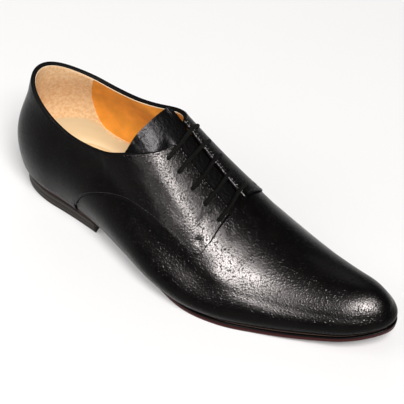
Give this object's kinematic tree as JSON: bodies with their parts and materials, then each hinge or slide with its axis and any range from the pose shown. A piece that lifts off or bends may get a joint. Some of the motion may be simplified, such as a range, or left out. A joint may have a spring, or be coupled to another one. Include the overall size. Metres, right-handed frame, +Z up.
{
  "type": "derby shoe",
  "caption": "Low black leather derby shoe with open lacing over straight bars, long almond toe, thin leather sole and low stacked heel.",
  "frame": {"origin": "on the floor, under the middle of the shoe's box", "axes": "+X from heel to toe, +Y to the inner side of the foot, +Z up from the floor"},
  "size_m": [0.2966, 0.1108, 0.1035],
  "materials": {
    "black_calf": "smooth calf with a fine grain, polished",
    "tongue_calf": "smooth calf, less polished",
    "cream_leather": "undyed sock leather, matt",
    "sole_leather": "dark oxblood edge, waxed",
    "heel_stack": "dark stacked lifts, waxed",
    "heel_rubber": "matt",
    "waxed_cord": "thin round waxed cotton cord"
  },
  "bodies": {
    "root": {"upper": "black_calf", "tongue": "tongue_calf", "insole": "cream_leather", "outsole": "sole_leather", "heel_base": "heel_stack", "heel_top_piece": "heel_rubber", "laces": "waxed_cord"}
  },
  "joints": []
}
